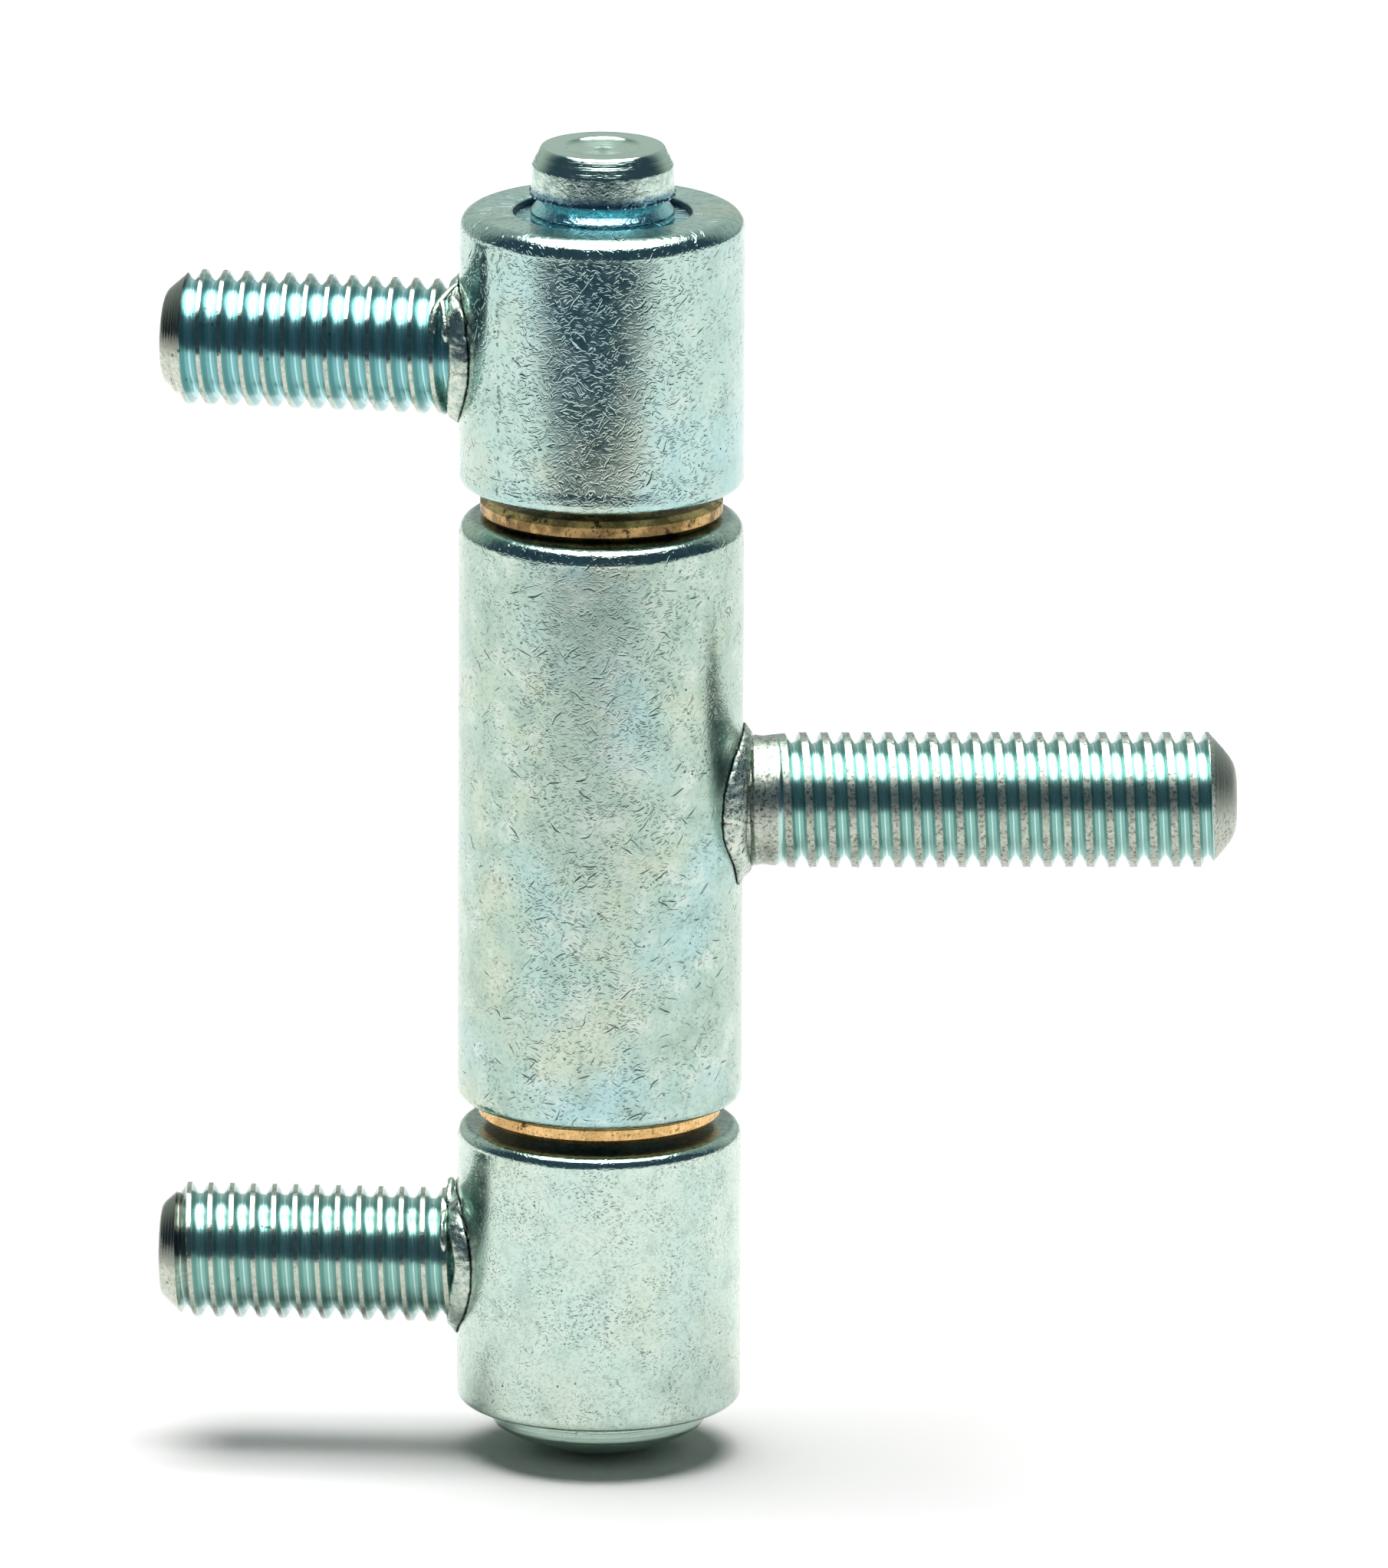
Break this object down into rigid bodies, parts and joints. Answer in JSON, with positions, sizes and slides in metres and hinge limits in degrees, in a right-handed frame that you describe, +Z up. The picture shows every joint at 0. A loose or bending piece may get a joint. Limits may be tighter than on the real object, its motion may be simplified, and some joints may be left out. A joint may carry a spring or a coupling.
{
  "type": "drill in hinge",
  "caption": "Drill-in barrel hinge: round knuckles turn on one pin with flanged bronze bushes between them, and each is carried by a threaded stud.",
  "frame": {"origin": "on the middle stud's axis, where its thread begins: the plane that the door's surface comes up to when the stud is fully in", "axes": "+X out along the middle stud, +Z up along the pin from its domed head to its chamfered end, +Y away from the side that the picture shows"},
  "size_m": [0.0756, 0.02, 0.0944],
  "materials": {
    "plated_knuckle": "bright zinc plating with a pale blue-green passivation, finely pitted and lightly scratched",
    "plated_pin": "bright zinc plating over a turned pin, with turning rings on its end",
    "plated_thread": "bright zinc plating over a rolled thread, darker and bluer in the roots",
    "bronze": "sintered bronze, dull, with a fine dark grain"
  },
  "bodies": {
    "lower_frame_side": {"bottom_knuckle": "plated_knuckle", "bottom_stud": "plated_thread", "hinge_pin": "plated_pin"},
    "door_side": {"middle_knuckle": "plated_knuckle", "middle_stud": "plated_thread", "upper_bush": "bronze", "lower_bush": "bronze"},
    "upper_frame_side": {"top_knuckle": "plated_knuckle", "top_stud": "plated_thread"}
  },
  "joints": [
    {"name": "door_swing", "type": "hinge", "parent": "lower_frame_side", "child": "door_side", "pos_m": [-0.0115, 0, 0], "axis": [0, 0, 1], "continuous": true},
    {"name": "upper_frame_turn", "type": "hinge", "parent": "lower_frame_side", "child": "upper_frame_side", "pos_m": [-0.0115, 0, 0.03225], "axis": [0, 0, 1], "continuous": true}
  ]
}
